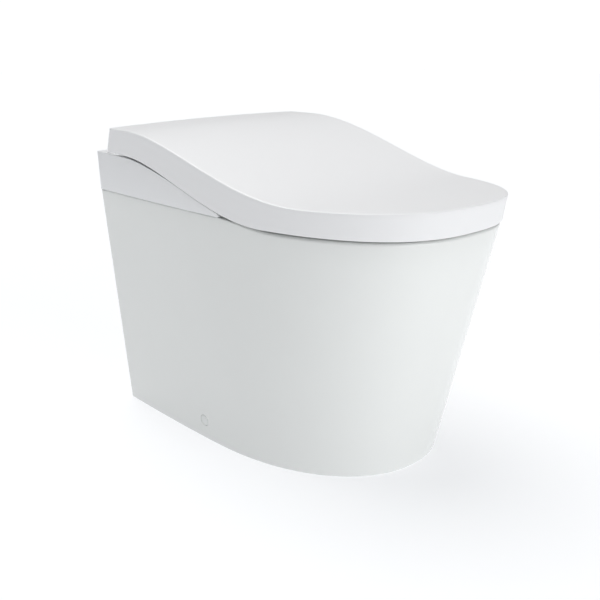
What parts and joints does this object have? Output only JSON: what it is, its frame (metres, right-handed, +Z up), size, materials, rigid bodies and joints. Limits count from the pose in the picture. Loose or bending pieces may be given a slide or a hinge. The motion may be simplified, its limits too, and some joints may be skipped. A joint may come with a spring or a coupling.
{
  "type": "smart toilet with heated seat",
  "caption": "Floor-standing one-piece toilet with an S-curved soft-close lid, heated seat, washing wands, warm-air dryer and hidden flush works.",
  "frame": {"origin": "on the floor under the middle of the whole toilet", "axes": "+Z up, -Y towards the front where the user sits, +X to the user's left when seated"},
  "size_m": [0.4213, 0.62, 0.4917],
  "materials": {
    "ceramic": "glossy",
    "cover_white": "satin",
    "lid_white": "satin",
    "seat_white": "satin",
    "inner_white": "matte",
    "grey_plastic": "matte",
    "black_plastic": "matte",
    "rubber_grey": "matte",
    "rubber_black": "matte",
    "steel": "brushed",
    "zinc_steel": "satin",
    "brass": "satin",
    "motor_steel": "satin",
    "board_green": "satin",
    "lens_black": "glossy",
    "light_diffuser": "satin",
    "heating_cord": "satin",
    "copper_like": "satin",
    "wand_white": "glossy",
    "tank_resin": "matte",
    "carbon": "matte"
  },
  "bodies": {
    "base": {"ceramic_pedestal": "ceramic", "side_screw_caps": "cover_white", "side_fixing_screws": "steel", "floor_brackets": "zinc_steel", "outlet_seal_ring": "rubber_black", "unit_cover": "cover_white", "unit_base_plate": "inner_white", "unit_fixing_bolts": "steel", "hinge_pins": "steel", "seat_hinge_drive": "grey_plastic", "lid_hinge_drive": "grey_plastic", "wand_cradle": "inner_white", "wash_wand_motor": "motor_steel", "bidet_wand_motor": "motor_steel", "heater_tank": "tank_resin", "water_heater_element": "steel", "water_inlet": "brass", "inlet_valve": "inner_white", "inlet_filter": "grey_plastic", "wash_pump": "black_plastic", "diverter_valve": "inner_white", "diverter_motor": "motor_steel", "water_hoses": "rubber_grey", "dryer_housing": "black_plastic", "dryer_motor": "motor_steel", "dryer_duct": "grey_plastic", "dryer_heater": "copper_like", "dryer_flap_pin": "cover_white", "deodoriser_fan_case": "black_plastic", "deodoriser_filter": "carbon", "control_board": "board_green", "power_supply": "zinc_steel", "power_cord_gland": "black_plastic", "seat_sensor": "lens_black", "night_light": "light_diffuser", "button_switch_board": "board_green", "flush_tank": "tank_resin", "flush_pump": "black_plastic", "flush_hoses": "rubber_black", "rim_jet_valve": "inner_white"},
    "seat": {"seat_top_shell": "seat_white", "seat_bottom_shell": "inner_white", "seat_heater": "heating_cord", "seat_thermostat": "black_plastic", "seat_bumpers": "rubber_grey"},
    "lid": {"lid_outer_shell": "lid_white", "lid_inner_panel": "lid_white", "lid_bumpers": "rubber_grey"},
    "wash_wand": {"wash_wand_tube": "wand_white", "wash_wand_nose": "grey_plastic"},
    "bidet_wand": {"bidet_wand_tube": "wand_white", "bidet_wand_nose": "wand_white"},
    "wash_drive": {"wash_pinion": "inner_white"},
    "bidet_drive": {"bidet_pinion": "inner_white"},
    "dryer_wheel": {"dryer_blower_wheel": "inner_white"},
    "deodoriser_wheel": {"deodoriser_fan_wheel": "grey_plastic"},
    "air_flap": {"dryer_flap": "cover_white"},
    "flush_key": {"flush_button": "cover_white"},
    "stop_key": {"stop_button": "grey_plastic"}
  },
  "joints": [
    {"name": "seat_hinge", "type": "hinge", "parent": "base", "child": "seat", "pos_m": [0, 0.268, 0.4537], "axis": [-1, 0, 0], "range_deg": [0, 92]},
    {"name": "lid_hinge", "type": "hinge", "parent": "seat", "child": "lid", "pos_m": [0, 0.268, 0.4537], "axis": [1, 0, 0], "range_deg": [-92, 0]},
    {"name": "wash_wand_slide", "type": "slide", "parent": "base", "child": "wash_wand", "axis": [0, -0.848, -0.5299], "range_m": [0, 0.1]},
    {"name": "bidet_wand_slide", "type": "slide", "parent": "base", "child": "bidet_wand", "axis": [0, -0.848, -0.5299], "range_m": [0, 0.1]},
    {"name": "wash_pinion_spin", "type": "hinge", "parent": "base", "child": "wash_drive", "pos_m": [-0.016, 0.08679, 0.40438], "axis": [-1, 0, 0], "range_deg": [0, 960]},
    {"name": "bidet_pinion_spin", "type": "hinge", "parent": "base", "child": "bidet_drive", "pos_m": [0.016, 0.08679, 0.40438], "axis": [-1, 0, 0], "range_deg": [0, 960]},
    {"name": "dryer_wheel_spin", "type": "hinge", "parent": "base", "child": "dryer_wheel", "pos_m": [0.096, 0.192, 0.405], "axis": [0, 0, 1], "continuous": true},
    {"name": "deodoriser_wheel_spin", "type": "hinge", "parent": "base", "child": "deodoriser_wheel", "pos_m": [-0.076, 0.121, 0.4063], "axis": [0, 1, 0], "continuous": true},
    {"name": "dryer_flap_hinge", "type": "hinge", "parent": "base", "child": "air_flap", "pos_m": [0.074, 0.0562, 0.3793], "axis": [-1, 0, 0], "range_deg": [0, 70]},
    {"name": "flush_button_press", "type": "slide", "parent": "base", "child": "flush_key", "axis": [-1, 0, 0], "range_m": [0, 0.002], "stiffness_N_per_m": 500, "springref_m": -0.002},
    {"name": "stop_button_press", "type": "slide", "parent": "base", "child": "stop_key", "axis": [-1, 0, 0], "range_m": [0, 0.002], "stiffness_N_per_m": 500, "springref_m": -0.002}
  ],
  "couplings": [
    {"joint": "wash_pinion_spin", "follows": "wash_wand_slide", "rad_per_m": 166.67},
    {"joint": "bidet_pinion_spin", "follows": "bidet_wand_slide", "rad_per_m": 166.67}
  ]
}
